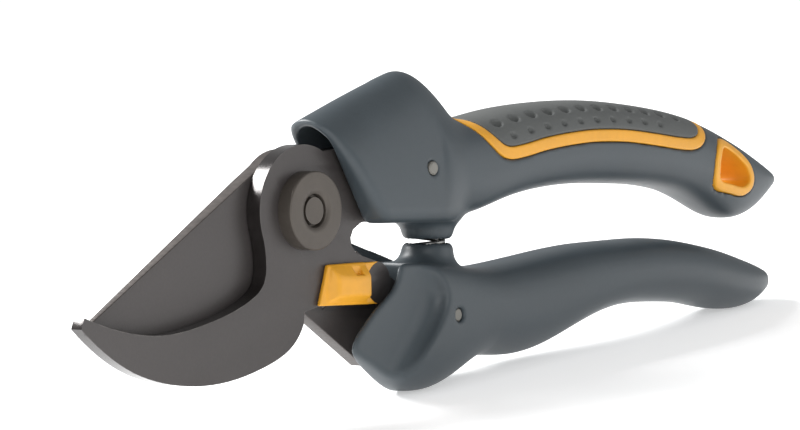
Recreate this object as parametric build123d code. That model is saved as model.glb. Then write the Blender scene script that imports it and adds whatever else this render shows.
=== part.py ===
"""Bypass pruner: a hook plate and a cutting blade on one pivot bolt, with two handles.

Millimetres, +Z up.  The tool stands on edge in the XZ plane: jaws towards -X, handles
towards +X, closed.  The origin is on the pivot axis (along Y), on the sliding plane
between the two plates.  The hook plate is in front of that plane (-Y), the blade behind.

The upper handle carries the hook plate, the pivot bolt and the lock.  The lower handle
carries the blade and turns about +Y to open.
"""

import os
from math import asin, copysign, cos, degrees, hypot, pi, radians, sin

from build123d import *

# ---- plates and pivot stack, along Y ----
RUN_GAP = 0.1                     # half the gap between the two plates
PLATE = 3.1                       # thickness of each plate
HOOK_BACK = -RUN_GAP
HOOK_FRONT = HOOK_BACK - PLATE
BLADE_FRONT = RUN_GAP
BLADE_BACK = BLADE_FRONT + PLATE
WASHER_THICK = 0.7
NUT_THICK = 3.0
BOLT_HEAD_THICK = 2.5
PIVOT_R = 4.0                     # bolt shank
BUSH_R = 5.0                      # bush pressed into the blade
RUNNING_FIT = 0.04                # radial
NUT_R = 7.0
THREAD_R = 2.4
HEX_KEY = 5.0                     # socket across flats

# ---- plates, in the XZ plane ----
HOOK_RING_R = 11.7
BLADE_RING_R = 10.9
SPINE_ANGLE = 31.5                # the blade's straight back, above the horizontal
SPINE_OFFSET = 10.7               # its distance from the pivot axis
BLADE_TIP_X = -52.5

# ---- lock ----
LOCK_Z = -13.3                    # centre line of the hook plate's lobe, the slot and the pin
LOCK_PIN_X = 9.0                  # pin position when locked
LOCK_TRAVEL = 3.2                 # slides towards the handles to unlock
LOCK_PIN_R = 1.5
SLOT_HALF = LOCK_PIN_R + 0.06
LOBE_R = 3.8
LOBE_X = 20.2                     # centre of the lobe's round end
BUTTON_BASE = 0.87                # flange thickness
BUTTON_RISE = 1.9                 # thumb block above the flange
PIN_SEAT = 2.0                    # depth of the pin's hole in the button
SLIDE_GAP = 0.08

# ---- handles ----
GRIP_HALF = 9.2                   # half thickness of the grips
WALL = 2.4                        # channel walls
SKIN = 1.7                        # depth of the soft grip and its accent band
PIN_R = 1.25
UPPER_PIN = (29.4, 7.4)
LOWER_PIN = (36.3, -19.6)
UPPER_PIN_HALF = 9.2              # half lengths of the two pins, which end flush with the flanks
LOWER_PIN_HALF = 9.3
HOOD_NEAR = -4.3                  # inner face of the hood's wall on the hook side
HOOD_FAR = 7.2
CHANNEL_NEAR = -5.2               # inner faces of the lower handle's walls
CHANNEL_FAR = 7.2
CHANNEL_END = 31.0                # where the hollow channel ends and the solid grip begins
THUMB_FACE = -6.8                 # floor of the hollow for the thumb

# ---- return spring and its cups ----
SPRING_X = 38.7
CUP_TIP_R = 4.8
CUP_ROOT_R = 5.3
POCKET_R = 3.9
CUP_UPPER_Z = -5.8
CUP_LOWER_Z = -6.5
POCKET_TOP = 2.6
POCKET_BOTTOM = -14.4
SEAT_THICK = 0.8
SEAT_SPIGOT_R = 2.0
SPRING_R = 2.9                    # coil centre line
WIRE_R = 0.55
SPRING_TURNS = 8


def xz(sketch, y_front, y_back):
    """Extrude a sketch drawn as (x, z) from y_front to y_back."""
    plane = Plane(origin=(0, y_back, 0), x_dir=(1, 0, 0), z_dir=(0, -1, 0))
    return extrude(plane * sketch, amount=y_back - y_front)


def y_cylinder(x, z, radius, y_front, y_back):
    return xz(Pos(x, z) * Circle(radius), y_front, y_back)


def closed(*edges):
    """A face from curves laid end to end."""
    return make_face(Curve() + list(edges))


def polar(radius, angle):
    return (radius * cos(radians(angle)), radius * sin(radians(angle)))


def slot(x_from, x_to, z, half_width):
    """A straight slot with round ends whose centres are at x_from and x_to."""
    bar = Pos((x_from + x_to) / 2, z) * Rectangle(x_to - x_from, 2 * half_width)
    return bar + Pos(x_from, z) * Circle(half_width) + Pos(x_to, z) * Circle(half_width)


# ------------------------------------------------------------------ plates

def hook_sketch():
    """The crescent hook, its ring, the lobe that carries the lock, and its tang."""
    tip_low = (-55.0, -18.9)
    tip_high = (-54.3, -17.0)
    throat = (-11.0, -4.0)
    heel = (0.0, -20.0)
    inner = Spline(tip_high, (-45.0, -19.7), (-36.0, -20.6), (-25.0, -19.0), (-14.5, -15.6),
                   (-10.6, -12.6), (-10.0, -9.0), throat)
    outer = Spline(tip_low, (-50.0, -22.8), (-43.0, -26.6), (-33.0, -29.2), (-22.0, -29.5), (-10.0, -27.1),
                   (-2.0, -23.0), heel)
    crescent = closed(inner, Polyline(throat, (0, 0), heel), outer, Line(tip_low, tip_high))
    neck = closed(Polyline((0, 0), heel, (0.2, -18.0), (4.0, LOCK_Z - LOBE_R), (LOBE_X, LOCK_Z - LOBE_R),
                           (LOBE_X, LOCK_Z + LOBE_R), (14.6, -8.0), (13.1, -6.6), (12.8, -5.0),
                           (13.5, -3.6), (15.6, -2.4), (26.0, -0.5), (31.0, 4.2), (47.0, 4.4), (62.0, 8.6), (62.0, 14.6),
                           (40.0, 13.6), (22.0, 12.6), (5.0, 10.5), (0, 0)))
    lobe_end = Pos(LOBE_X, LOCK_Z) * Circle(LOBE_R)
    return Circle(HOOK_RING_R) + crescent + neck + lobe_end


def hook_blade():
    travel_end = LOCK_PIN_X + LOCK_TRAVEL
    plate = xz(hook_sketch(), HOOK_FRONT, HOOK_BACK)
    plate -= y_cylinder(0, 0, PIVOT_R, HOOK_FRONT, HOOK_BACK)
    plate -= y_cylinder(*UPPER_PIN, PIN_R, HOOK_FRONT, HOOK_BACK)
    plate -= xz(slot(LOCK_PIN_X, travel_end, LOCK_Z, SLOT_HALF), HOOK_FRONT, HOOK_BACK)
    rebate = slot(LOCK_PIN_X, travel_end, LOCK_Z, CLIP_R + 0.15)
    plate -= xz(rebate, HOOK_BACK - CLIP_REBATE, HOOK_BACK)
    # the hook thins towards its tip, like the blade
    thinning = Plane.XY * closed(Polyline((-56, HOOK_FRONT - 1), (-56, HOOK_FRONT + 0.7), (-30, HOOK_FRONT),
                                          (-30, HOOK_FRONT - 1), (-56, HOOK_FRONT - 1)))
    return plate - extrude(thinning, amount=40, both=True)


def spine_point(x):
    """A point of the blade's straight back."""
    rise = radians(SPINE_ANGLE)
    return (x, x * sin(rise) / cos(rise) + SPINE_OFFSET / cos(rise))


def blade_sketch():
    tip = spine_point(BLADE_TIP_X)
    shoulder = spine_point(-SPINE_OFFSET * sin(radians(SPINE_ANGLE)))
    heel = (-6.0, -17.0)
    edge = Spline(tip, (-47.0, -21.6), (-37.0, -23.9), (-26.0, -24.0), (-14.0, -21.2), heel)
    body = closed(Polyline(heel, (0, 0), shoulder, tip), edge)
    tang = closed(Polyline((0, 0), (-6.0, -12.0), (4.1, -18.6), (20.3, -28.6), (27.0, -29.0), (45.0, -24.5),
                           (62.0, -22.0), (62.0, -15.0), (44.0, -16.0), (34.0, -16.0), (29.0, -13.0),
                           (22.4, -9.9), (17.2, -6.8), (9.0, -6.8), (0, 0)))
    return Circle(BLADE_RING_R) + body + tang


def lock_window():
    """The notch in the tang that the lock pin swings through, open at the tang's upper edge."""
    pin_near = hypot(LOCK_PIN_X, LOCK_Z)
    pin_far = hypot(LOCK_PIN_X + LOCK_TRAVEL, LOCK_Z)
    inner = pin_near - LOCK_PIN_R - 0.4
    outer = pin_far + LOCK_PIN_R + 0.4
    low = -degrees(asin(-LOCK_Z / pin_near)) - 7.5
    mid = low + 35
    high = low + 70
    return closed(Line(polar(inner, low), polar(outer, low)),
                  ThreePointArc(polar(outer, low), polar(outer, mid), polar(outer, high)),
                  Line(polar(outer, high), polar(inner, high)),
                  ThreePointArc(polar(inner, high), polar(inner, mid), polar(inner, low)))


def cutting_blade():
    plate = xz(blade_sketch(), BLADE_FRONT, BLADE_BACK)
    plate -= y_cylinder(0, 0, BUSH_R, BLADE_FRONT, BLADE_BACK)
    plate -= y_cylinder(*LOWER_PIN, PIN_R, BLADE_FRONT, BLADE_BACK)
    plate -= xz(lock_window(), BLADE_FRONT, BLADE_BACK)
    # distal taper: the back face runs towards the sliding plane at the tip
    taper = Plane.XY * closed(Polyline((-54, BLADE_BACK + 1), (-54, BLADE_FRONT + 1.1), (-12, BLADE_BACK),
                                       (-12, BLADE_BACK + 1), (-54, BLADE_BACK + 1)))
    return plate - extrude(taper, amount=40, both=True)


# ------------------------------------------------------------------ pivot

def pivot_bolt():
    head_front = BLADE_BACK + RUN_GAP + WASHER_THICK
    head_back = head_front + BOLT_HEAD_THICK
    head = y_cylinder(0, 0, NUT_R, head_front, head_back)
    head = chamfer(head.edges().group_by(Axis.Y)[-1], 0.6)
    head -= xz(RegularPolygon(HEX_KEY / 2, 6, major_radius=False), head_back - 1.6, head_back)
    shank = y_cylinder(0, 0, PIVOT_R, HOOK_FRONT, head_front)
    thread = y_cylinder(0, 0, THREAD_R, HOOK_FRONT - NUT_THICK + 0.5, HOOK_FRONT)
    return head + shank + thread


def pivot_nut():
    front = HOOK_FRONT - NUT_THICK
    nut = y_cylinder(0, 0, NUT_R, front, HOOK_FRONT)
    nut = chamfer(nut.edges().group_by(Axis.Y)[0], 0.35)
    nut -= y_cylinder(0, 0, THREAD_R, front, HOOK_FRONT)
    dish = Plane(origin=(0, front, 0), z_dir=(0, 1, 0)) * Circle(3.2)
    return nut - extrude(dish, amount=0.5, taper=30)


def pivot_washer():
    front = BLADE_BACK + RUN_GAP
    washer = y_cylinder(0, 0, NUT_R - 0.4, front, front + WASHER_THICK)
    return washer - y_cylinder(0, 0, PIVOT_R, front, front + WASHER_THICK)


def pivot_bush():
    bush = y_cylinder(0, 0, BUSH_R, BLADE_FRONT, BLADE_BACK)
    return bush - y_cylinder(0, 0, PIVOT_R + RUNNING_FIT, BLADE_FRONT, BLADE_BACK)


# ------------------------------------------------------------------ lock

CLIP_R = 2.5
CLIP_THICK = 0.5
CLIP_REBATE = 1.5                 # depth of the clip's rebate in the hook plate's back
WAVE_THICK = 0.35
CLIP_GROOVE_R = 1.1


def lock_button():
    """A flange whose pointed corners wrap the lobe, and a thumb block with sloping sides on it."""
    back = HOOK_FRONT - SLIDE_GAP
    base_front = back - BUTTON_BASE
    flange = make_face(Polyline((3.6, -17.0), (5.6, -9.8), (19.4, -9.5), (20.6, -17.0), (3.6, -17.0)))
    flange -= Pos(LOBE_X, LOCK_Z) * Circle(LOBE_R + 0.1)
    on_base = Plane(origin=(0, base_front, 0), x_dir=(1, 0, 0), z_dir=(0, -1, 0))
    foot = make_face(Polyline((4.9, -16.6), (5.7, -10.0), (15.6, -9.8), (15.8, -16.5), (4.9, -16.6)))
    top = make_face(Polyline((6.6, -15.1), (6.9, -12.3), (15.1, -12.2), (15.3, -15.1), (6.6, -15.1)))
    block = loft([on_base * foot, on_base.offset(BUTTON_RISE) * top])
    pin_hole = y_cylinder(LOCK_PIN_X, LOCK_Z, LOCK_PIN_R, back - PIN_SEAT, back)
    return xz(flange, base_front, back) + block - pin_hole


def lock_pin():
    """A shouldered pin: held in the button, through the slot, and out into the tang's notch."""
    top = HOOK_FRONT - SLIDE_GAP - PIN_SEAT
    pin = y_cylinder(LOCK_PIN_X, LOCK_Z, LOCK_PIN_R, top, BLADE_BACK - 0.4)
    groove_front = HOOK_BACK - CLIP_REBATE + WAVE_THICK + 0.15
    ring = y_cylinder(LOCK_PIN_X, LOCK_Z, LOCK_PIN_R, groove_front, groove_front + CLIP_THICK)
    ring -= y_cylinder(LOCK_PIN_X, LOCK_Z, CLIP_GROOVE_R, groove_front, groove_front + CLIP_THICK)
    return pin - ring


def lock_clip():
    """The open retaining ring in the pin's groove."""
    front = HOOK_BACK - CLIP_REBATE + WAVE_THICK + 0.15
    ring = y_cylinder(LOCK_PIN_X, LOCK_Z, CLIP_R, front, front + CLIP_THICK)
    ring -= y_cylinder(LOCK_PIN_X, LOCK_Z, CLIP_GROOVE_R, front, front + CLIP_THICK)
    mouth = Pos(LOCK_PIN_X, LOCK_Z - CLIP_R) * Rectangle(1.6, 2 * CLIP_R)
    return ring - xz(mouth, front, front + CLIP_THICK)


def lock_wave_washer():
    front = HOOK_BACK - CLIP_REBATE + 0.08
    ring = y_cylinder(LOCK_PIN_X, LOCK_Z, CLIP_R - 0.1, front, front + WAVE_THICK)
    return ring - y_cylinder(LOCK_PIN_X, LOCK_Z, LOCK_PIN_R + 0.02, front, front + WAVE_THICK)


# ------------------------------------------------------------------ handles

def rounded(value, power):
    """Keeps the sign of a sine or cosine and squares off the oval that it draws."""
    return copysign(abs(value) ** (2 / power), value)


def oval(x, top, bottom, half, power=2.5, inset=0.0, points=16):
    """One closed cross-section of a grip at x: a rounded oval between bottom and top."""
    mid = (top + bottom) / 2
    rise = (top - bottom) / 2 - inset
    reach = half - inset
    ring = []
    for step in range(points):
        turn = 2 * pi * step / points - pi / 2
        y = reach * rounded(cos(turn), power)
        z = mid + rise * rounded(sin(turn), power)
        ring.append((x, y, z))
    return make_face(Spline(*ring, periodic=True))


def arch(x, top, bottom, half):
    """One cross-section of the shroud at x: half an ellipse standing on its flat base."""
    height = top - bottom
    crown = [(x, half * cos(turn), bottom + height * sin(turn)) for turn in (k * pi / 10 for k in range(11))]
    crown[0] = (x, half, bottom)
    crown[-1] = (x, -half, bottom)
    return closed(Spline(*crown, tangents=((0, 0, 1), (0, 0, -1))), Line(crown[-1], crown[0]))


# x, top, bottom, half thickness, and for boxy sections the power of the oval
UPPER_GRIP = [
    (36, 15.8, -1.6, 9.0), (46, 16.5, -1.4, 9.0), (56, 18.2, 1.0, 9.0), (70, 19.7, 3.5, 9.1),
    (84, 20.3, 4.4, GRIP_HALF), (98, 19.6, 4.4, GRIP_HALF), (111, 18.4, 3.2, 8.9), (119, 17.2, 1.8, 8.4),
    (127, 15.2, -1.0, 7.8), (134, 13.0, -3.1, 7.1), (140, 10.9, -3.0, 6.3), (146, 8.5, -0.4, 5.0),
    (150, 6.9, 2.0, 3.6), (152, 5.9, 3.9, 1.6),
]
SHROUD = [(-6, 12.4, 9.2), (3, 15.9, 9.4), (14, 20.2, 9.6), (24, 23.8, 9.7), (29, 25.3, 9.7),
          (34, 24.9, 9.4), (38.5, 22.0, 8.5), (42, 18.4, 7.0), (46, 14.2, 4.8)]
SHROUD_BASE = -2.5
NOSE_LOW = (15.1, -2.5)
NOSE_HIGH = (2.9, 16.5)
NOSE_SWEEP = 1.25                 # beyond NOSE_FLAT the nose falls back by this much for each mm across
NOSE_FLAT = 4.0
LOWER_GRIP = [
    (7, -9.8, -24.8, 9.2, 3.4), (12, -9.8, -27.2, 9.4, 3.4), (18, -9.8, -29.9, 9.6, 3.4),
    (24, -9.8, -32.2, 9.7, 3.4), (30, -9.9, -33.0, 9.7, 3.4), (36, -10.2, -32.2, 9.7, 3.2),
    (42, -10.7, -30.2, 9.6, 3.0), (49, -11.2, -28.3, 9.4, 2.8), (58, -10.7, -28.2, GRIP_HALF, 2.6),
    (68, -9.5, -27.1, GRIP_HALF), (77, -8.4, -24.3, GRIP_HALF), (86, -7.6, -21.6, GRIP_HALF),
    (94, -7.2, -20.3, GRIP_HALF), (102, -7.0, -19.8, GRIP_HALF), (112, -7.2, -20.0, 9.0), (122, -8.4, -20.8, 8.5),
    (131, -10.0, -22.0, 7.7), (138, -11.5, -22.1, 6.8), (144, -12.9, -20.8, 5.4), (148, -14.1, -19.2, 3.6),
    (149.6, -15.2, -17.6, 1.8),
]


def loft_grip(stations, inset=0.0):
    return loft([oval(*station, inset=inset) for station in stations])


# the lower edge of the soft pad, seen from the side, from the hood back to the end of the grip
PAD_LINE = [(45.6, 17.1), (49.4, 12.9), (52.4, 11.4), (57.0, 11.8), (64.0, 13.1), (72.0, 14.1), (80.0, 14.7),
            (90.0, 14.7), (100.0, 14.0), (108.0, 13.3), (113.6, 13.2), (116.6, 14.4), (117.9, 17.0)]
BAND_WIDTH = 2.35


def shifted(points, distance):
    """The same line moved sideways, towards its right-hand side as it is drawn."""
    moved = []
    for k, (x, z) in enumerate(points):
        before = points[max(k - 1, 0)]
        after = points[min(k + 1, len(points) - 1)]
        dx, dz = after[0] - before[0], after[1] - before[1]
        length = hypot(dx, dz)
        moved.append((x + distance * dz / length, z - distance * dx / length))
    return moved


def rounded_wedge(corners, radius):
    face = make_face(Polyline(*corners, corners[0]))
    return fillet(face.vertices(), radius)


def flank_zone(line):
    """Everything above a line drawn on the side of the upper grip, as a block across the tool."""
    start, end = line[0], line[-1]
    lid = Polyline(end, (end[0], 26.0), (start[0] - 4.0, 26.0), start)
    return xz(closed(Spline(*line), lid), -20, 20)


def pad_zone():
    return flank_zone(PAD_LINE)


def band_zone():
    return flank_zone(shifted(PAD_LINE, BAND_WIDTH))


def hang_hole():
    """Side view of the hang hole: a rounded wedge that follows the end of the grip."""
    return make_face(Spline((126.0, 11.3), (123.9, 8.9), (123.7, 5.8), (125.4, 4.2), (129.0, 3.6), (133.8, 3.1),
                            (136.5, 4.2), (136.6, 5.8), (134.9, 7.8), (130.6, 10.2), periodic=True))


def liner_outline():
    return make_face(Spline((124.8, 12.8), (121.9, 9.7), (121.6, 6.0), (122.7, 3.3), (126.3, 2.1), (134.2, 1.1),
                            (138.4, 2.9), (138.9, 5.0), (136.6, 8.5), (129.9, 11.8), periodic=True))


def grip_pieces():
    """The upper grip, the recess for its soft parts, and the pad, the band and the liner."""
    outer = loft_grip(UPPER_GRIP)
    core = loft_grip(UPPER_GRIP, inset=SKIN)
    inlay = (outer - core) & band_zone()
    pad = inlay & pad_zone()
    band = inlay - pad_zone()
    liner_zone = xz(liner_outline(), -20, 20)
    liner = (outer & liner_zone) - xz(hang_hole(), -20, 20)
    return outer - liner_zone, inlay, pad, band, liner


def spring_pocket(z_mouth, z_floor):
    low, high = sorted((z_mouth, z_floor))
    return Pos(SPRING_X, 0, (low + high) / 2) * Cylinder(POCKET_R, high - low)


def spring_cup(z_face, z_root):
    low, high = sorted((z_face, z_root))
    at_low, at_high = (CUP_ROOT_R, CUP_TIP_R) if z_face > z_root else (CUP_TIP_R, CUP_ROOT_R)
    cup = Pos(SPRING_X, 0, (low + high) / 2) * Cone(at_low, at_high, high - low)
    rim = cup.edges().group_by(Axis.Z)[-1 if z_face > z_root else 0]
    return fillet(rim, 0.8)


def nose_cut():
    """The block that opens the hood's front: a sloping face, swept back on the far side."""
    low, high = Vector(NOSE_LOW[0], 0, NOSE_LOW[1]), Vector(NOSE_HIGH[0], 0, NOSE_HIGH[1])
    along = (high - low).normalized()
    ahead = Vector(-along.Z, 0, along.X)
    plane = Plane(origin=low, x_dir=ahead, z_dir=-along)
    fall = NOSE_SWEEP * (20 - NOSE_FLAT)
    outline = Polyline((0, -20), (0, NOSE_FLAT), (-fall, 20), (40, 20), (40, -20), (0, -20))
    return extrude(plane * make_face(outline), amount=40, both=True)


def upper_handle(grip, inlay):
    shroud = loft([arch(x, top, SHROUD_BASE, half) for x, top, half in SHROUD])
    hollow = loft([arch(x, top - 1.6, SHROUD_BASE - 3, half - WALL) for x, top, half in SHROUD[:4]])
    hollow &= Pos(0, (HOOD_NEAR + HOOD_FAR) / 2, 0) * Box(120, HOOD_FAR - HOOD_NEAR, 120)
    shroud = shroud - nose_cut() - hollow
    body = shroud + grip - inlay + spring_cup(CUP_UPPER_Z, 0.5)
    body -= spring_pocket(CUP_UPPER_Z, POCKET_TOP)
    body -= xz(hook_sketch(), HOOK_FRONT, HOOK_BACK)
    body -= y_cylinder(*UPPER_PIN, PIN_R, -12, 12)
    return body


def near_front():
    """Side view of the lower handle behind its front edge, on the hook side."""
    edge = [(24.5, -5.0), (23.2, -11.6), (22.2, -13.8), (19.9, -15.8), (16.9, -17.9), (13.6, -20.8), (10.6, -24.6),
            (11.2, -27.2), (14.0, -31.0), (15.0, -40.0)]
    return closed(Polyline(*edge), Polyline(edge[-1], (160, -40), (160, -5), edge[0]))


def far_front():
    edge = [(22.0, -5.0), (21.5, -12.0), (20.5, -16.0), (21.0, -20.0), (24.0, -24.0), (30.5, -28.3), (36.0, -31.0),
            (42.0, -36.0)]
    return closed(Polyline(*edge), Polyline(edge[-1], (160, -40), (160, -5), edge[0]))


def thumb_hollow():
    """The shallow hollow that lets the thumb reach the lock."""
    outline = [(0, -5), (22.0, -5.0), (33.0, -13.6), (33.0, -20.0), (23.0, -30.6), (10.0, -42.0), (0, -42)]
    return xz(rounded_wedge(outline, 2.5), -20, THUMB_FACE)


def lower_handle():
    body = loft_grip(LOWER_GRIP)
    near = xz(near_front(), -20, 1.0)
    far = xz(far_front(), 1.0, 20)
    body &= near + far
    body -= thumb_hollow()
    # the wall behind the blade stands higher than the front one
    ear = closed(Polyline((20.0, -9.6), (23.6, -5.9), (38.0, -10.2), (38.0, -14.0), (20.5, -15.5), (20.0, -9.6)))
    body += xz(ear, CHANNEL_FAR, CHANNEL_FAR + WALL)
    body += spring_cup(CUP_LOWER_Z, -12.0)
    channel = closed(Polyline((0, -4), (0, -25.0), (13.0, -26.4), (20.0, -29.2), (CHANNEL_END, -30.2),
                              (CHANNEL_END, -12.5), (27.0, -4), (0, -4)))
    body -= xz(channel, CHANNEL_NEAR, CHANNEL_FAR)
    body -= spring_pocket(CUP_LOWER_Z, POCKET_BOTTOM)
    body -= xz(blade_sketch(), BLADE_FRONT, BLADE_BACK)
    body -= y_cylinder(*LOWER_PIN, PIN_R, -12, 12)
    return body


def tang_pin(place, half_length):
    pin = y_cylinder(*place, PIN_R, -half_length, half_length)
    return chamfer(pin.edges().filter_by(GeomType.CIRCLE), 0.25)


# ------------------------------------------------------------------ spring

def spring_seat(z_floor, up):
    """A steel disc with a spigot that centres the coil. up is +1 when the spigot points up."""
    disc = Pos(SPRING_X, 0, z_floor + up * SEAT_THICK / 2) * Cylinder(POCKET_R, SEAT_THICK)
    spigot = Pos(SPRING_X, 0, z_floor + up * (SEAT_THICK + 0.9)) * Cylinder(SEAT_SPIGOT_R, 1.8)
    return disc + spigot


def return_spring():
    low = POCKET_BOTTOM + SEAT_THICK + WIRE_R + 0.05
    high = POCKET_TOP - SEAT_THICK - WIRE_R - 0.05
    height = high - low
    path = Pos(SPRING_X, 0, low) * Helix(height / SPRING_TURNS, height, SPRING_R)
    start = Plane(origin=path @ 0, z_dir=path % 0)
    return sweep(start * Circle(WIRE_R), path=path)


# ------------------------------------------------------------------ write

def build():
    grip, inlay, pad, band, liner = grip_pieces()
    return {
        "upper_handle": upper_handle(grip, inlay),
        "soft_grip": pad,
        "accent_band": band,
        "hang_hole_liner": liner,
        "hook_blade": hook_blade(),
        "upper_tang_pin": tang_pin(UPPER_PIN, UPPER_PIN_HALF),
        "pivot_bolt": pivot_bolt(),
        "pivot_nut": pivot_nut(),
        "pivot_washer": pivot_washer(),
        "upper_spring_seat": spring_seat(POCKET_TOP, -1),
        "return_spring": return_spring(),
        "cutting_blade": cutting_blade(),
        "pivot_bush": pivot_bush(),
        "lower_handle": lower_handle(),
        "lower_tang_pin": tang_pin(LOWER_PIN, LOWER_PIN_HALF),
        "lower_spring_seat": spring_seat(POCKET_BOTTOM, 1),
        "lock_button": lock_button(),
        "lock_pin": lock_pin(),
        "lock_clip": lock_clip(),
        "lock_wave_washer": lock_wave_washer(),
    }


os.makedirs("parts", exist_ok=True)
for node, shape in build().items():
    export_step(shape, f"parts/{node}.step")
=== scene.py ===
"""Bypass pruner: the looks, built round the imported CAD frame.

Shapes are worked out in millimetres in the part's own frame (pivot axis along Y at the origin,
jaws towards -X, handles towards +X, +Z up) and written to Blender in metres.
"""

import math

import bmesh
import bpy
import numpy as np
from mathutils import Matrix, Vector


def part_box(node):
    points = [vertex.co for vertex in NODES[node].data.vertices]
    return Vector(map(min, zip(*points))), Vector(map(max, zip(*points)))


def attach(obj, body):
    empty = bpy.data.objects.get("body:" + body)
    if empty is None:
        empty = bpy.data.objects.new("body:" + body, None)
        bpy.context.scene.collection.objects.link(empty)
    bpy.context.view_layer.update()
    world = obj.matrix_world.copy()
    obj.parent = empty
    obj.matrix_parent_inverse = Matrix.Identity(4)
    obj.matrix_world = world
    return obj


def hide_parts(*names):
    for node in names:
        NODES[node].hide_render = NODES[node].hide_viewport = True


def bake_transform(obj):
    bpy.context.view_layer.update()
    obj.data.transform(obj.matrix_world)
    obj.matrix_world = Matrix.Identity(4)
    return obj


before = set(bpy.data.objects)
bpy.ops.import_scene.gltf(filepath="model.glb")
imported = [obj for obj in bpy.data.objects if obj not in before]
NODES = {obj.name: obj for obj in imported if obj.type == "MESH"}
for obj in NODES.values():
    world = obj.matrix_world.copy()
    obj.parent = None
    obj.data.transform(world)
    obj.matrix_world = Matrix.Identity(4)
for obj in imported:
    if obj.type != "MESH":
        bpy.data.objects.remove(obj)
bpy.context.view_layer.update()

MM = 0.001


# ------------------------------------------------------------------ curves and solid fields
# A field is negative inside a solid and roughly the distance in millimetres outside it.

def smooth_curve(points):
    """A twice-smooth curve v(x) through the given points, straight beyond its ends."""
    knots, values = np.array(points, float).T
    gap = np.diff(knots)
    slope = np.diff(values) / gap
    count = len(knots)
    system = np.eye(count)
    right = np.zeros(count)
    for i in range(1, count - 1):
        system[i, i - 1:i + 2] = gap[i - 1], 2 * (gap[i - 1] + gap[i]), gap[i]
        right[i] = 6 * (slope[i] - slope[i - 1])
    bend = np.linalg.solve(system, right)
    first = slope[0] - gap[0] * (2 * bend[0] + bend[1]) / 6
    last = slope[-1] + gap[-1] * (2 * bend[-1] + bend[-2]) / 6

    def curve(x):
        inside = np.clip(x, knots[0], knots[-1])
        i = np.clip(np.searchsorted(knots, inside) - 1, 0, count - 2)
        h = gap[i]
        a = (knots[i + 1] - inside) / h
        b = (inside - knots[i]) / h
        bulge = (a ** 3 - a) * bend[i] + (b ** 3 - b) * bend[i + 1]
        v = a * values[i] + b * values[i + 1] + bulge * h * h / 6
        return v + first * np.minimum(x - knots[0], 0) + last * np.maximum(x - knots[-1], 0)

    return curve


def join(a, b, radius):
    """Union with a fillet of about this radius."""
    mix = np.clip(0.5 + 0.5 * (b - a) / radius, 0, 1)
    return b + (a - b) * mix - radius * mix * (1 - mix)


def common(a, b, radius):
    """Intersection with a rounded edge."""
    return -join(-a, -b, radius)


def cut(a, b, radius):
    """a with b taken out, and the rim rounded."""
    return common(a, -b, radius)


def oval(y, z, top, bottom, half, power):
    """A squared-off ellipse between top and bottom, this wide on each side."""
    mid = (top + bottom) / 2
    rise = np.maximum((top - bottom) / 2, 0.3)
    reach = np.maximum(half, 0.3)
    level = (np.abs(y / reach) ** power + np.abs((z - mid) / rise) ** power) ** (1 / power)
    return (level - 1) * np.minimum(rise, reach)


def arch(y, z, top, base, half):
    """An ellipse centred at the height base, which reaches up to top."""
    height = np.maximum(top - base, 0.5)
    level = np.sqrt((y / half) ** 2 + ((z - base) / height) ** 2)
    return (level - 1) * np.minimum(half, height)


def post(x, y, z, centre, radius, z_low, z_high, rounding):
    """An upright round boss or pocket."""
    side = np.hypot(x - centre[0], y - centre[1]) - radius
    return common(side, np.maximum(z_low - z, z - z_high), rounding)


def cross_pin(x, z, centre, radius):
    """A round hole or pin that runs along Y."""
    return np.hypot(x - centre[0], z - centre[1]) - radius


def half_plane(x, z, start, end):
    """Distance in the XZ plane to the line start to end, negative on its right."""
    dx, dz = end[0] - start[0], end[1] - start[1]
    return -((x - start[0]) * dz - (z - start[1]) * dx) / math.hypot(dx, dz)


def wedge(x, z, corners, radius):
    """A convex outline in the XZ plane, corners given clockwise, with rounded corners."""
    field = None
    for start, end in zip(corners, corners[1:] + corners[:1]):
        side = half_plane(x, z, start, end)
        field = side if field is None else common(field, side, radius)
    return field


# ------------------------------------------------------------------ field to mesh

def grid_axes(low, high, cell):
    return [np.arange(a, b + cell, cell) for a, b in zip(low, high)]


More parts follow.
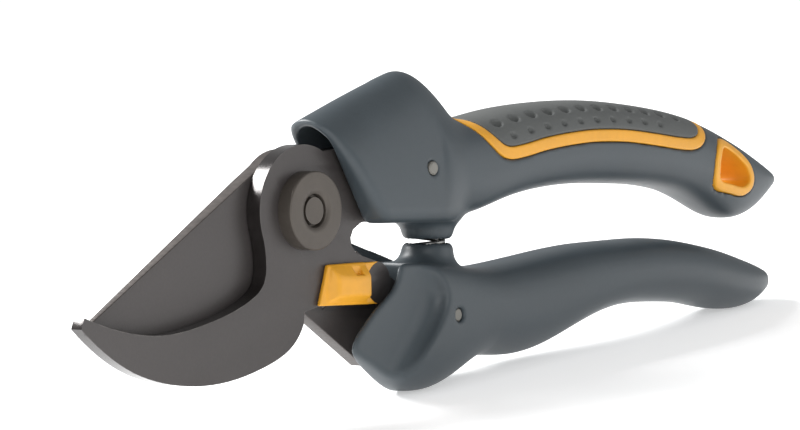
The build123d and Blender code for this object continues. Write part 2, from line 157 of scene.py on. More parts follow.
def surface_net(field, low, high, cell):
    """A quad mesh on the zero level of the field: one vertex for each cell that it crosses."""
    ax, ay, az = grid_axes(low, high, cell)
    value = field(ax[:, None, None], ay[None, :, None], az[None, None, :])
    value = np.ascontiguousarray(np.broadcast_to(value, (len(ax), len(ay), len(az))))
    inside = value < 0
    shape = np.array(value.shape) - 1
    total = np.zeros(tuple(shape) + (3,), np.float32)
    count = np.zeros(tuple(shape), np.int32)
    for axis in range(3):
        b, c = (axis + 1) % 3, (axis + 2) % 3
        lower = [slice(None)] * 3
        upper = [slice(None)] * 3
        lower[axis], upper[axis] = slice(None, -1), slice(1, None)
        f0, f1 = value[tuple(lower)], value[tuple(upper)]
        crossed = (f0 < 0) != (f1 < 0)
        part = np.where(crossed, f0 / np.where(crossed, f0 - f1, 1), 0)
        for db in (0, 1):
            for dc in (0, 1):
                pick = [slice(None)] * 3
                pick[b] = slice(db, db + shape[b])
                pick[c] = slice(dc, dc + shape[c])
                hit = crossed[tuple(pick)]
                count += hit
                total[..., axis] += np.where(hit, part[tuple(pick)], 0)
                total[..., b] += hit * db
                total[..., c] += hit * dc
    used = count > 0
    index = np.full(tuple(shape), -1, np.int64)
    index[used] = np.arange(used.sum())
    cells = np.argwhere(used)
    vertices = (cells + total[used] / count[used][:, None]) * cell + np.array([ax[0], ay[0], az[0]])
    quads = []
    for axis in range(3):
        b, c = (axis + 1) % 3, (axis + 2) % 3
        lower = [slice(1, -1)] * 3
        upper = [slice(1, -1)] * 3
        lower[axis], upper[axis] = slice(None, -1), slice(1, None)
        start = inside[tuple(lower)]
        change = np.argwhere(start != inside[tuple(upper)])
        outward = start[tuple(change.T)]
        change[:, b] += 1
        change[:, c] += 1
        ring = []
        for db, dc in ((-1, -1), (0, -1), (0, 0), (-1, 0)):
            place = change.copy()
            place[:, b] += db
            place[:, c] += dc
            ring.append(index[tuple(place.T)])
        ring = np.stack(ring, 1)
        ring[~outward] = ring[~outward][:, ::-1]
        quads.append(ring)
    return vertices, np.concatenate(quads)


def gradient(field, p, step=0.02):
    """Slope of the field at each point, by central differences."""
    slopes = []
    for axis in range(3):
        shift = np.zeros(3)
        shift[axis] = step
        ahead, behind = p + shift, p - shift
        slopes.append((field(*ahead.T) - field(*behind.T)) / (2 * step))
    return np.stack(slopes, 1)


def settle(field, vertices, quads, cell, rounds=3):
    """Evens the net out and puts its vertices exactly on the surface."""
    p = vertices.copy()
    edges = np.concatenate([quads[:, [i, (i + 1) % 4]] for i in range(4)])
    degree = np.bincount(edges.ravel(), minlength=len(p))[:, None]
    for turn in range(rounds):
        for _ in range(2):
            slope = gradient(field, p)
            length = np.maximum((slope ** 2).sum(1), 0.05)
            move = slope * (field(*p.T) / length)[:, None]
            size = np.linalg.norm(move, axis=1, keepdims=True)
            p -= move * np.minimum(1, 0.5 * cell / np.maximum(size, 1e-9))
        if turn < rounds - 1:
            mean = np.zeros_like(p)
            for a, b in ((0, 1), (1, 0)):
                np.add.at(mean, edges[:, a], p[edges[:, b]])
            pull = mean / degree - p
            normal = slope / np.sqrt(length)[:, None]
            pull -= normal * (pull * normal).sum(1, keepdims=True)
            p += 0.6 * pull
    return p


def mesh_object(name, vertices, faces):
    """A smooth-shaded object; vertices are in millimetres."""
    mesh = bpy.data.meshes.new(name)
    mesh.vertices.add(len(vertices))
    mesh.vertices.foreach_set("co", (np.asarray(vertices, np.float32) * MM).ravel())
    mesh.loops.add(faces.size)
    mesh.loops.foreach_set("vertex_index", faces.astype(np.int32).ravel())
    mesh.polygons.add(len(faces))
    mesh.polygons.foreach_set("loop_start", np.arange(0, faces.size, faces.shape[1], dtype=np.int32))
    mesh.update(calc_edges=True)
    mesh.validate()
    mesh.polygons.foreach_set("use_smooth", np.ones(len(mesh.polygons), bool))
    thing = bpy.data.objects.new(name, mesh)
    bpy.context.scene.collection.objects.link(thing)
    return thing


def solid(name, field, low, high, cell):
    """An object whose surface is the field's zero level, found within the box low to high."""
    vertices, quads = surface_net(field, low, high, cell)
    return mesh_object(name, settle(field, vertices, quads, cell), quads)


# ------------------------------------------------------------------ the upper handle

# the grip's top line, bottom line and half width, along x
UPPER_TOP = smooth_curve([(36, 15.8), (46, 16.5), (56, 18.2), (70, 19.8), (84, 20.4), (98, 19.8), (111, 18.5),
                          (121, 16.7), (130, 14.3), (138, 11.7), (144, 9.4), (149, 7.3), (153, 5.4)])
UPPER_BOTTOM = smooth_curve([(36, -1.6), (46, -1.4), (56, 1.0), (70, 3.4), (84, 4.2), (94, 4.1), (102, 3.9),
                             (111, 3.2), (119, 1.8), (127, -0.9), (134, -3.2), (139, -3.0), (144, -1.2),
                             (149, 1.7), (153, 4.2)])
UPPER_HALF = smooth_curve([(36, 9.0), (56, 9.0), (84, 9.2), (98, 9.2), (111, 8.9), (121, 8.3), (130, 7.5),
                           (138, 6.6), (144, 5.5), (149, 4.2), (153, 2.8)])
UPPER_END = 152.2
UPPER_START = 34.0                # hidden inside the hood
GRIP_POWER = 2.5                  # squareness of the grip's oval section
HOOD_TOP = smooth_curve([(-6, 12.4), (3, 15.9), (13, 19.8), (20, 22.4), (27, 24.8), (33, 26.4), (40, 27.5)])
HOOD_BASE = -2.5
HOOD_TAIL = 45.5                  # the hood reaches no further back than this
HOOD_HALF = 9.6
HOOD_WALL_INSIDE = -4.3
HOOD_WALL = 1.6
HOOD_END = 24.0                   # how far back the hood is hollow
NOSE_LOW = (15.1, -2.5)
NOSE_HIGH = (2.9, 16.5)
NOSE_FLAT = 4.0                   # beyond this y the nose falls back
NOSE_FALL = 1.25
HOOD_REAR_HIGH = (36.6, 24.2)
HOOD_REAR_LOW = (45.2, 14.6)
HOOD_REAR_SWEEP = 0.1             # the back of the hood is rounded in plan by this times y squared
CUP = (38.7, 0.0)
CUP_R = 4.75
POCKET_R = 3.6
UPPER_CUP_TIP = -5.95
UPPER_POCKET_END = 2.6
LOWER_CUP_TIP = -6.35
LOWER_POCKET_END = -14.4
UPPER_PIN = (29.4, 7.4)
LOWER_PIN = (36.3, -19.6)
PIN_R = 1.25
PIN_GAP = 0.12


def nose_x(z):
    """Where the hood's open front face lies at each height."""
    slope = (NOSE_LOW[0] - NOSE_HIGH[0]) / (NOSE_LOW[1] - NOSE_HIGH[1])
    return NOSE_HIGH[0] + (z - NOSE_HIGH[1]) * slope


def upper_shell(x, y, z):
    """The outer skin of the upper handle: grip and hood run together."""
    grip = oval(y, z, UPPER_TOP(x), UPPER_BOTTOM(x), UPPER_HALF(x), GRIP_POWER)
    grip = common(grip, np.maximum(x - UPPER_END, UPPER_START - x), 1.6)
    hood = common(arch(y, z, HOOD_TOP(x), HOOD_BASE, HOOD_HALF), HOOD_BASE - z, 3.2)
    swept = x + HOOD_REAR_SWEEP * y ** 2
    hood = common(hood, -half_plane(swept, z, HOOD_REAR_LOW, HOOD_REAR_HIGH) * 0.8, 5.0)
    hood = common(hood, (swept - HOOD_TAIL) * 0.7, 3.0)
    return join(grip, hood, 2.2)


def boss(x, y, z, tip, up):
    """A spring cup that widens away from its open tip; up is +1 when the tip points up."""
    height = (tip - z) * up
    radius = CUP_R + 0.08 * np.clip(height, 0, 6)
    side = np.hypot(x - CUP[0], y - CUP[1]) - radius
    return common(common(side, -height, 1.7), height - 7.0, 0.5)


PAD_OUTLINE = [(43.0, 20.5), (45.6, 17.1), (49.4, 12.9), (52.4, 11.4), (57.0, 11.8), (64.0, 13.1),
               (72.0, 14.1), (80.0, 14.7), (90.0, 14.7), (100.0, 14.0), (108.0, 13.3), (113.6, 13.2),
               (116.6, 14.4), (117.9, 17.0), (118.2, 24.0)]
BAND_WIDTH = 2.35
INLAY_DEPTH = 1.4
LINER_WIDTH = 1.9
HOLE_OUTLINE = [(126.2, 11.2), (124.2, 8.9), (124.0, 5.8), (125.4, 4.4), (129.0, 3.8), (133.6, 3.2),
                (136.3, 4.2), (136.5, 5.7), (134.9, 7.7), (130.6, 10.0)]


def rounded_loop(points, step=12):
    """A closed smooth line through the points, as many short straight pieces."""
    p = np.array(points, float)
    out = []
    for i in range(len(p)):
        a, b, c, d = p[i - 1], p[i], p[(i + 1) % len(p)], p[(i + 2) % len(p)]
        for k in range(step):
            t = k / step
            out.append(0.5 * (2 * b + (c - a) * t + (2 * a - 5 * b + 4 * c - d) * t ** 2
                              + (3 * b - a - 3 * c + d) * t ** 3))
    return np.array(out)


def outline_field(loop, low, high, pitch=0.12):
    """Signed distance to a closed line in the XZ plane, held on a grid and read between its points."""
    gx = np.arange(low[0], high[0] + pitch, pitch)
    gz = np.arange(low[1], high[1] + pitch, pitch)
    px, pz = np.meshgrid(gx, gz, indexing="ij")
    nearest = np.full(px.shape, 1e9)
    inside = np.zeros(px.shape, bool)
    for (ax, az), (bx, bz) in zip(loop, np.roll(loop, -1, 0)):
        dx, dz = bx - ax, bz - az
        t = np.clip(((px - ax) * dx + (pz - az) * dz) / (dx * dx + dz * dz + 1e-12), 0, 1)
        nearest = np.minimum(nearest, (px - ax - t * dx) ** 2 + (pz - az - t * dz) ** 2)
        if az != bz:
            inside ^= ((az > pz) != (bz > pz)) & (px < ax + (pz - az) * (bx - ax) / (bz - az))
    grid = np.sqrt(nearest) * np.where(inside, -1, 1)

    def field(x, z):
        u = np.clip((x - low[0]) / pitch, 0, len(gx) - 1.001)
        v = np.clip((z - low[1]) / pitch, 0, len(gz) - 1.001)
        i, j = u.astype(int), v.astype(int)
        s, t = u - i, v - j
        return ((grid[i, j] * (1 - s) + grid[i + 1, j] * s) * (1 - t)
                + (grid[i, j + 1] * (1 - s) + grid[i + 1, j + 1] * s) * t)

    return field


pad_outline = outline_field(rounded_loop(PAD_OUTLINE + [(118.0, 30.0), (80.0, 34.0), (42.0, 30.0)]),
                            (36, 5), (128, 26))
hole_outline = outline_field(rounded_loop(HOLE_OUTLINE), (116, -3), (143, 17))


def upper_handle_field(x, y, z):
    """The handle with its open hood, spring cup, pin hole and the places for pad, band and liner."""
    shell = upper_shell(x, y, z)
    nose = half_plane(x, z, NOSE_LOW, NOSE_HIGH)
    far_nose = (nose_x(z) - x + NOSE_FALL * (y - NOSE_FLAT)) / 1.9
    # soft towards the near flank, crisp across the top
    body = common(shell, nose, 0.6 + 1.9 * np.clip((-y - 3.0) / 4.5, 0, 1))
    body = common(body, far_nose, 0.8)
    inner = arch(y, z, HOOD_TOP(x) - HOOD_WALL, HOOD_BASE - 3.0, HOOD_HALF - 2.0)
    inner = common(inner, x - HOOD_END, 2.0)
    inner = common(inner, HOOD_WALL_INSIDE - y, 0.6)
    body = cut(body, inner, 0.7)
    body = join(body, boss(x, y, z, UPPER_CUP_TIP, -1), 2.4)
    body = cut(body, post(x, y, z, CUP, POCKET_R, -12, UPPER_POCKET_END, 0.2), 0.4)
    body = cut(body, cross_pin(x, z, UPPER_PIN, PIN_R + PIN_GAP), 0.35)
    inlay = np.maximum(pad_outline(x, z) - BAND_WIDTH - 0.1, -(shell + INLAY_DEPTH + 0.1))
    body = cut(body, inlay, 0.25)
    return cut(body, hole_outline(x, z) - LINER_WIDTH - 0.05, 0.3)


def accent_band_field(x, y, z):
    """The band round the pad, a little proud of the handle."""
    shell = upper_shell(x, y, z)
    pad = pad_outline(x, z)
    ring = common(pad - BAND_WIDTH, -pad, 0.2)
    return common(common(ring, shell - 0.1, 0.35), -(shell + INLAY_DEPTH), 0.2)


DIMPLE_STEP = 5.3
# first x, last x, distance from the middle plane, size
DIMPLE_ROWS = ((51.6, 110.2, 6.35, 1.0), (54.2, 105.0, 8.35, 0.62))


def grip_height(x, y):
    """Height of the upper grip's surface at (x, y)."""
    top, bottom, half = float(UPPER_TOP(x)), float(UPPER_BOTTOM(x)), float(UPPER_HALF(x))
    crown = (1 - (y / half) ** GRIP_POWER) ** (1 / GRIP_POWER)
    return (top + bottom) / 2 + (top - bottom) / 2 * crown


def soft_grip_field(x, y, z):
    """The pad inside the band, with two rows of dimples on each side."""
    shell = upper_shell(x, y, z)
    pad = common(pad_outline(x, z) + 0.1, shell - 0.14, 0.5)
    pad = common(pad, -(shell + INLAY_DEPTH), 0.2)
    for first, last, side, size in DIMPLE_ROWS:
        for step in range(int((last - first) / DIMPLE_STEP) + 1):
            at = first + step * DIMPLE_STEP
            near = np.abs(y) - side
            height = grip_height(at, side)
            dent = np.sqrt(((x - at) / 1.35) ** 2 + (near / 0.9) ** 2 + ((z - height) / 0.9) ** 2) - size
            pad = cut(pad, dent * 0.7, 0.3)
    return pad


def hang_liner_field(x, y, z):
    """The lining of the hang hole, right through the handle and a little proud of it."""
    shell = upper_shell(x, y, z)
    hole = hole_outline(x, z)
    ring = common(hole - LINER_WIDTH, -hole, 0.6)
    return common(ring, shell - 0.3, 0.5)


# ------------------------------------------------------------------ the lower handle

# the same three lines for the lower handle
LOWER_TOP = smooth_curve([(4, -9.8), (20, -9.8), (30, -9.9), (38, -10.4), (45, -11.1), (52, -11.2),
                          (58, -10.7), (68, -9.5), (77, -8.4), (86, -7.6), (96, -7.2), (106, -6.95),
                          (114, -7.4), (122, -8.4), (131, -9.9), (139, -11.7), (145, -13.2), (150, -14.7)])
LOWER_BOTTOM = smooth_curve([(4, -24.2), (12, -27.2), (18, -30.2), (24, -32.7), (30, -33.6), (36, -32.6),
                             (42, -30.3), (48, -28.3), (53, -28.1), (60, -28.3), (68, -27.1), (77, -24.3),
                             (86, -21.6), (94, -20.2), (102, -19.8), (112, -20.0), (122, -20.7), (131, -22.0),
                             (138, -22.1), (144, -20.8), (150, -18.0)])
LOWER_HALF = smooth_curve([(4, 9.4), (20, 9.7), (36, 9.8), (46, 9.5), (58, 9.2), (77, 9.2), (101, 9.2),
                           (112, 9.0), (122, 8.5), (131, 7.7), (139, 6.6), (145, 5.2), (150, 3.4)])
LOWER_END = 149.6
# squareness of the section's upper half along x
TOP_POWER = smooth_curve([(10, 5.5), (34, 5.0), (46, 3.4), (60, 2.8), (90, 2.5), (150, 2.5)])
# x of the front edge at each height, on the near wall and on the far one
WALL_FRONT = smooth_curve([(-36.0, 15.0), (-31.0, 13.9), (-27.4, 11.3), (-24.8, 10.3), (-20.6, 13.6),
                           (-17.9, 16.8), (-15.8, 19.9), (-13.8, 22.0), (-11.6, 23.0), (-8.0, 24.2)])
FAR_FRONT = smooth_curve([(-36.0, 52.0), (-32.6, 45.0), (-30.0, 38.0), (-27.0, 31.0), (-24.0, 25.5),
                          (-20.0, 21.0), (-16.0, 20.5), (-12.0, 21.5), (-8.0, 22.5)])
CHANNEL_FLOOR = smooth_curve([(0, -24.5), (13.0, -26.6), (20.0, -29.0), (31.0, -30.0)])
CHANNEL_NEAR = -5.2
CHANNEL_FAR = 7.2
CHANNEL_END = 31.0
EAR = [(23.6, -5.8), (38.0, -10.0), (38.0, -15.0), (20.0, -15.5), (19.5, -9.6)]
EAR_MIDDLE = 8.2
EAR_HALF = 1.2
THUMB_OUTLINE = [(-8, -2.0), (25.0, -2.0), (33.6, -13.8), (33.6, -20.0), (22.0, -32.5), (10.0, -46.0),
                 (-8, -46.0)]
THUMB_FACE = -6.4


def lower_shell(x, y, z):
    """The outer skin of the lower handle."""
    top, bottom, half = LOWER_TOP(x), LOWER_BOTTOM(x), LOWER_HALF(x)
    mid = (top + bottom) / 2
    rise = np.maximum((top - bottom) / 2, 0.3)
    low_power = np.clip(3.2 - (x - 32.0) / 22.0, 2.4, 3.2)
    power = np.where(z > mid, TOP_POWER(x), low_power)
    level = (np.abs(y / half) ** power + np.abs((z - mid) / rise) ** power) ** (1 / power)
    body = (level - 1) * np.minimum(rise, half)
    return common(body, x - LOWER_END, 2.4)


def lower_handle_field(x, y, z):
    """The handle with its open channel, thumb hollow, spring cup and pin hole."""
    body = lower_shell(x, y, z)
    # a hollow for the thumb, so that it reaches the lock
    thumb = common(wedge(x, z, THUMB_OUTLINE, 3.5), y - THUMB_FACE, 4.5)
    body = cut(body, thumb, 0.9)
    ear = common(wedge(x, z, EAR, 0.8), np.abs(y - EAR_MIDDLE) - EAR_HALF, 0.6)
    # the front edge falls back across the tool, from the near wall to the far one
    across = np.clip((y - CHANNEL_NEAR) / (CHANNEL_FAR - CHANNEL_NEAR), 0, 1)
    front = WALL_FRONT(z) + (FAR_FRONT(z) - WALL_FRONT(z)) * across
    body = common(body, (front - x) * 0.65, 1.0)
    body = join(body, ear, 0.6)
    body = join(body, boss(x, y, z, LOWER_CUP_TIP, 1), 2.6)
    channel = common(np.maximum(CHANNEL_NEAR - y, y - CHANNEL_FAR), CHANNEL_FLOOR(x) - z, 1.6)
    channel = common(channel, x - CHANNEL_END, 1.5)
    body = cut(body, channel, 0.7)
    body = cut(body, post(x, y, z, CUP, POCKET_R, LOWER_POCKET_END, 0.0, 0.2), 0.4)
    return cut(body, cross_pin(x, z, LOWER_PIN, PIN_R + PIN_GAP), 0.35)


# ------------------------------------------------------------------ materials

def srgb(r, g, b):
    """A colour given from 0 to 255 as linear light."""
    return [((c / 255 + 0.055) / 1.055) ** 2.4 for c in (r, g, b)] + [1.0]


class Finish:
    """A procedural surface, built up one layer at a time on a Principled shader."""

    def __init__(self, name, colour, metallic=0.0, specular=0.5, coat=0.0):
        self.material = bpy.data.materials.new(name)
        self.material.use_nodes = True
        self.tree = self.material.node_tree
        self.shader = self.tree.nodes["Principled BSDF"]
        self.shader.inputs["Metallic"].default_value = metallic
        self.shader.inputs["Specular IOR Level"].default_value = specular
        self.shader.inputs["Coat Weight"].default_value = coat
        self.shader.inputs["Coat Roughness"].default_value = 0.2
        self.place = self.tree.nodes.new("ShaderNodeTexCoord").outputs["Object"]
        self.colour = self.node("ShaderNodeRGB").outputs[0]
        self.colour.default_value = colour
        self.normal = None

    def node(self, kind, **settings):
        made = self.tree.nodes.new(kind)
        for key, value in settings.items():
            setattr(made, key, value)
        return made

    def link(self, source, target):
        self.tree.links.new(source, target)

    def noise(self, size_mm, detail=4.0, stretch=(1, 1, 1)):
        """Noise with lumps of about size_mm, longer along an axis whose stretch is above 1."""
        mapping = self.node("ShaderNodeMapping")
        mapping.inputs["Scale"].default_value = [1000 / (size_mm * s) for s in stretch]
        self.link(self.place, mapping.inputs["Vector"])
        texture = self.node("ShaderNodeTexNoise")
        texture.inputs["Scale"].default_value = 1.0
        texture.inputs["Detail"].default_value = detail
        self.link(mapping.outputs["Vector"], texture.inputs["Vector"])
        return texture.outputs["Fac"]

    def ramp(self, source, low, high, to_low=0.0, to_high=1.0):
        mapper = self.node("ShaderNodeMapRange")
        limits = {"From Min": low, "From Max": high, "To Min": to_low, "To Max": to_high}
        for key, value in limits.items():
            mapper.inputs[key].default_value = value
        self.link(source, mapper.inputs["Value"])
        return mapper.outputs["Result"]

    def tint(self, mask, colour, amount=1.0):
        """Lays a second colour over the first where the mask is near 1."""
        mix = self.node("ShaderNodeMix", data_type="RGBA")
        self.link(self.ramp(mask, 0, 1, 0, amount), mix.inputs["Factor"])
        self.link(self.colour, mix.inputs["A"])
        mix.inputs["B"].default_value = colour
        self.colour = mix.outputs["Result"]
        return self

    def shade(self, mask, low, high):
        """Multiplies the colour by low to high."""
        mix = self.node("ShaderNodeMix", data_type="RGBA", blend_type="MULTIPLY")
        mix.inputs["Factor"].default_value = 1.0
        self.link(self.colour, mix.inputs["A"])
        grey = self.node("ShaderNodeCombineColor")
        level = self.ramp(mask, 0.25, 0.75, low, high)
        for channel in ("Red", "Green", "Blue"):
            self.link(level, grey.inputs[channel])
        self.link(grey.outputs["Color"], mix.inputs["B"])
        self.colour = mix.outputs["Result"]
        return self

    def gloss(self, mask, low, high):
        self.link(self.ramp(mask, 0.25, 0.75, low, high), self.shader.inputs["Roughness"])
        return self

    def bump(self, height, depth_mm):
        made = self.node("ShaderNodeBump")
        made.inputs["Strength"].default_value = 1.0
        made.inputs["Distance"].default_value = depth_mm * MM
        self.link(height, made.inputs["Height"])
        if self.normal is not None:
            self.link(self.normal, made.inputs["Normal"])
        self.normal = made.outputs["Normal"]
        return self

    def painted_edge_highlight(self, colour, width_mm, amount):
        """Painted highlight: a lighter colour laid in patches along edges, where the bevelled normal differs
        from the flat one.
        """
        bevel = self.node("ShaderNodeBevel", samples=4)
        bevel.inputs["Radius"].default_value = width_mm * MM
        flat = self.node("ShaderNodeNewGeometry").outputs["Normal"]
        dot = self.node("ShaderNodeVectorMath", operation="DOT_PRODUCT")
        self.link(bevel.outputs["Normal"], dot.inputs[0])
        self.link(flat, dot.inputs[1])
        # painted highlight mask: near 1 along edges, broken up by noise
        edge = self.ramp(dot.outputs["Value"], 0.985, 0.86)
        highlight_patches = self.node("ShaderNodeMath", operation="MULTIPLY")
        self.link(edge, highlight_patches.inputs[0])
        self.link(self.ramp(self.noise(1.6, 5), 0.42, 0.62), highlight_patches.inputs[1])
        return self.tint(highlight_patches.outputs[0], colour, amount)

    def done(self):
        self.link(self.colour, self.shader.inputs["Base Color"])
        if self.normal is not None:
            self.link(self.normal, self.shader.inputs["Normal"])
        return self.material


def moulded(name, colour, low, high, grain_mm, depth_mm, specular=0.5):
    """A moulded plastic or rubber with its fine tool texture and faint mottling."""
    finish = Finish(name, colour, specular=specular)
    broad = finish.noise(9, 4)
    finish.shade(broad, 0.93, 1.07).shade(finish.noise(1.1, 3), 0.97, 1.03).gloss(broad, low, high)
    finish.bump(finish.noise(grain_mm, 2), depth_mm)
    return finish


HANDLE = moulded("handle_nylon", srgb(60, 68, 73), 0.40, 0.47, 0.30, 0.010)
# painted highlight: a light grey laid along the handle's edges
HANDLE = HANDLE.painted_edge_highlight(srgb(120, 128, 132), 0.3, 0.15).done()
GRIP = moulded("grip_rubber", srgb(92, 94, 93), 0.62, 0.75, 0.55, 0.045, specular=0.35).done()
YELLOW = moulded("accent_yellow", srgb(226, 160, 38), 0.38, 0.46, 0.4, 0.008).done()


def coated_steel():
    """Plate faces: dark non-stick coating over a lightly blasted surface."""
    finish = Finish("coated_steel", srgb(66, 62, 61), metallic=0.15)
    broad = finish.noise(12, 4)
    finish.shade(broad, 0.93, 1.07).shade(finish.noise(0.5, 3), 0.95, 1.05).gloss(broad, 0.38, 0.46)
    # painted highlight: a pale steel colour laid along the plates' edges
    finish.painted_edge_highlight(srgb(150, 146, 140), 0.3, 0.35)
    return finish.bump(finish.noise(0.35, 3), 0.012).done()


def ground_edge():
    """The blade's back: coarse grinding marks across the plate, under the coating."""
    finish = Finish("ground_edge", srgb(66, 60, 57), metallic=0.3)
    marks = finish.noise(0.55, 4, stretch=(1, 3.5, 1))
    finish.shade(marks, 0.7, 1.35).gloss(marks, 0.38, 0.5)
    return finish.bump(marks, 0.06).done()


def blanked_edge():
    """The hook's edge: smooth and glossy under the coating."""
    finish = Finish("blanked_edge", srgb(48, 44, 43), metallic=0.55, coat=0.3)
    streaks = finish.noise(1.5, 3, stretch=(1, 5, 1))
    finish.shade(streaks, 0.9, 1.1).gloss(streaks, 0.16, 0.26)
    return finish.bump(streaks, 0.01).done()


def turned(name, colour, metallic, low, high):
    """Turned steel: fine rings about the pivot axis, drawn by distance from it."""
    finish = Finish(name, colour, metallic=metallic)
    split = finish.node("ShaderNodeSeparateXYZ")
    finish.link(finish.place, split.inputs[0])
    flat = finish.node("ShaderNodeCombineXYZ")
    finish.link(split.outputs["X"], flat.inputs["X"])
    finish.link(split.outputs["Z"], flat.inputs["Z"])
    radius = finish.node("ShaderNodeVectorMath", operation="LENGTH")
    finish.link(flat.outputs[0], radius.inputs[0])
    rings = finish.node("ShaderNodeTexNoise", noise_dimensions="1D")
    rings.inputs["Scale"].default_value = 7000
    rings.inputs["Detail"].default_value = 3
    finish.link(radius.outputs["Value"], rings.inputs["W"])
    broad = finish.noise(3, 4)
    marks = rings.outputs["Fac"]
    finish.shade(marks, 0.9, 1.1).shade(broad, 0.92, 1.08).gloss(marks, low, high)
    # painted highlight: a pale steel colour laid along the turned parts' edges
    finish.painted_edge_highlight(srgb(170, 165, 158), 0.2, 0.3)
    return finish.bump(marks, 0.012).done()


COATED = coated_steel()
GROUND = ground_edge()
BLANKED = blanked_edge()
PIVOT = turned("pivot_steel", srgb(80, 74, 68), 0.35, 0.36, 0.48)
PIN = turned("pin_steel", srgb(122, 120, 114), 0.2, 0.45, 0.6)
STEEL = turned("bright_steel", srgb(150, 149, 146), 0.9, 0.3, 0.42)


def drawn_wire():
    """Drawn spring wire."""
    finish = Finish("spring_steel", srgb(140, 140, 138), metallic=0.9)
    broad = finish.noise(1.5, 4)
    finish.shade(broad, 0.85, 1.1).gloss(broad, 0.25, 0.38)
    return finish.bump(finish.noise(0.2, 3), 0.006).done()


def bronze():
    """The bush's plain bearing bronze."""
    finish = Finish("bush_bronze", srgb(150, 108, 62), metallic=0.9)
    broad = finish.noise(2, 4)
    finish.shade(broad, 0.85, 1.1).gloss(broad, 0.3, 0.42)
    return finish.bump(finish.noise(0.25, 3), 0.008).done()


WIRE = drawn_wire()
BRONZE = bronze()


# ------------------------------------------------------------------ pieces

def dress(thing, *finishes):
    thing.data.materials.clear()
    for finish in finishes:
        thing.data.materials.append(finish)


def install(thing, body, finishes, node):
    """Gives a piece its finish and its body, and hides the CAD node it stands for."""
    dress(thing, *finishes)
    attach(thing, body)
    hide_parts(node)


CELL = 0.5
FINE = CELL * 0.6
FINEST = 0.16

install(solid("upper_handle_skin", upper_handle_field, (0, -11, -8), (155, 11, 28), CELL),
        "upper", [HANDLE], "upper_handle")
install(solid("accent_band_ring", accent_band_field, (38, -11, 6), (127, 11, 23), FINE),
        "upper", [YELLOW], "accent_band")
install(solid("soft_grip_pad", soft_grip_field, (40, -11, 8), (125, 11, 23), FINE),
        "upper", [GRIP], "soft_grip")
install(solid("hang_hole_lining", hang_liner_field, (119, -10, -1), (142, 10, 16), FINE),
        "upper", [YELLOW], "hang_hole_liner")
install(solid("lower_handle_skin", lower_handle_field, (6, -12, -36), (152, 12, -4), CELL),
        "lower", [HANDLE], "lower_handle")


EASED_EDGE = 0.22
SHARP_TURN = math.radians(35)     # an edge that turns by more than this is sharp


def plate_piece(name, node, body, finishes):
    """A copy of a plate with its edges eased; its sides take the second finish."""
    mesh = NODES[node].data.copy()
    mesh.name = name
    thing = bpy.data.objects.new(name, mesh)
    bpy.context.scene.collection.objects.link(thing)
    work = bmesh.new()
    work.from_mesh(mesh)
    bmesh.ops.remove_doubles(work, verts=work.verts, dist=0.002 * MM)
    bmesh.ops.dissolve_limit(work, angle_limit=math.radians(0.3), verts=work.verts, edges=work.edges)
    for edge in work.edges:
        if len(edge.link_faces) == 2 and all(abs(face.normal.y) > 0.9 for face in edge.link_faces):
            edge.smooth = False
    work.to_mesh(mesh)
    work.free()
    bevel = thing.modifiers.new("ease", "BEVEL")
    bevel.width = EASED_EDGE * MM
    bevel.segments = 3
    bevel.limit_method = "ANGLE"
    bevel.angle_limit = SHARP_TURN
    weighted = thing.modifiers.new("normals", "WEIGHTED_NORMAL")
    weighted.weight = 90
    weighted.keep_sharp = True
    graph = bpy.context.evaluated_depsgraph_get()
    final = bpy.data.meshes.new_from_object(thing.evaluated_get(graph), depsgraph=graph)
    thing.modifiers.clear()
    thing.data = final
    final.polygons.foreach_set("use_smooth", np.ones(len(final.polygons), bool))
    install(thing, body, finishes, node)
    for face in final.polygons:
        face.material_index = 0 if abs(face.normal.y) > 0.8 else 1


plate_piece("hook_plate", "hook_blade", "upper", [COATED, BLANKED])
plate_piece("blade_plate", "cutting_blade", "lower", [COATED, GROUND])


def turned_piece(name, profile, sides=96):
    """A ring turned about the pivot axis, from corners given as (radius, y, rounding)."""
    line = []
    for k, (radius, along, rounding) in enumerate(profile):
        here = np.array((radius, along))
        before = np.array(profile[k - 1][:2])
        after = np.array(profile[(k + 1) % len(profile)][:2])
        start = here + (before - here) / np.linalg.norm(before - here) * rounding
        end = here + (after - here) / np.linalg.norm(after - here) * rounding
        for t in np.linspace(0, 1, 5):
            line.append((1 - t) ** 2 * start + 2 * t * (1 - t) * here + t ** 2 * end)
    line = np.array(line)
    angles = np.arange(sides) * 2 * math.pi / sides
    vertices = [(r * math.cos(a), y, r * math.sin(a)) for r, y in line for a in angles]
    faces = []
    for i in range(len(line)):
        j = (i + 1) % len(line)
        for k in range(sides):
            n = (k + 1) % sides
            faces.append((i * sides + k, j * sides + k, j * sides + n, i * sides + n))
    mesh = bpy.data.meshes.new(name)
    mesh.from_pydata((np.array(vertices) * MM).tolist(), [], faces)
    work = bmesh.new()
    work.from_mesh(mesh)
    bmesh.ops.remove_doubles(work, verts=work.verts, dist=0.0005 * MM)
    bmesh.ops.dissolve_degenerate(work, dist=0.0005 * MM, edges=work.edges)
    bmesh.ops.recalc_face_normals(work, faces=work.faces)
    for edge in work.edges:
        edge.smooth = len(edge.link_faces) != 2 or edge.calc_face_angle(0) < SHARP_TURN
    for face in work.faces:
        face.smooth = True
    work.to_mesh(mesh)
    work.free()
    thing = bpy.data.objects.new(name, mesh)
    bpy.context.scene.collection.objects.link(thing)
    return thing


NUT_PROFILE = [(7.0, -3.2, 0.1), (7.0, -6.2, 0.35), (3.7, -6.2, 0.35), (3.0, -5.8, 0.15), (2.9, -4.6, 0.1),
               (2.45, -4.6, 0.05), (2.45, -3.2, 0.1)]
install(turned_piece("nut_body", NUT_PROFILE), "upper", [PIVOT], "pivot_nut")


